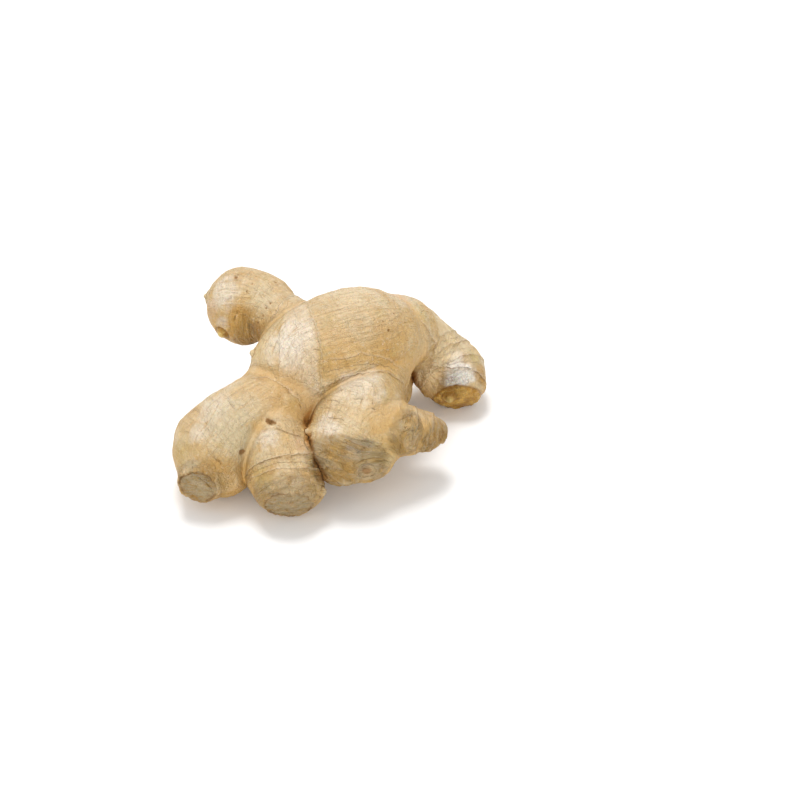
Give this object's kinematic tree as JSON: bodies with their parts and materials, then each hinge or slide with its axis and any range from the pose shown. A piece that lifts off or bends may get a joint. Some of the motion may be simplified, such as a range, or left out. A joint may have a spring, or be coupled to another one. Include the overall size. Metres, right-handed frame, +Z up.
{
  "type": "ginger root",
  "caption": "Whole forked ginger rhizome with knobbly fingers, growth rings, buds and broken ends, lying on a table.",
  "frame": {"origin": "on the table under the middle of the root's box, in the plane of its four resting flats", "axes": "+X along the root's long way, to the right from the front; +Y to its back; +Z up from the table"},
  "size_m": [0.1129, 0.0948, 0.0595],
  "materials": {
    "ginger_skin": "satin tan papery skin with paler bands and brown creases"
  },
  "bodies": {
    "root": {"ginger_rhizome": "ginger_skin"}
  },
  "joints": []
}
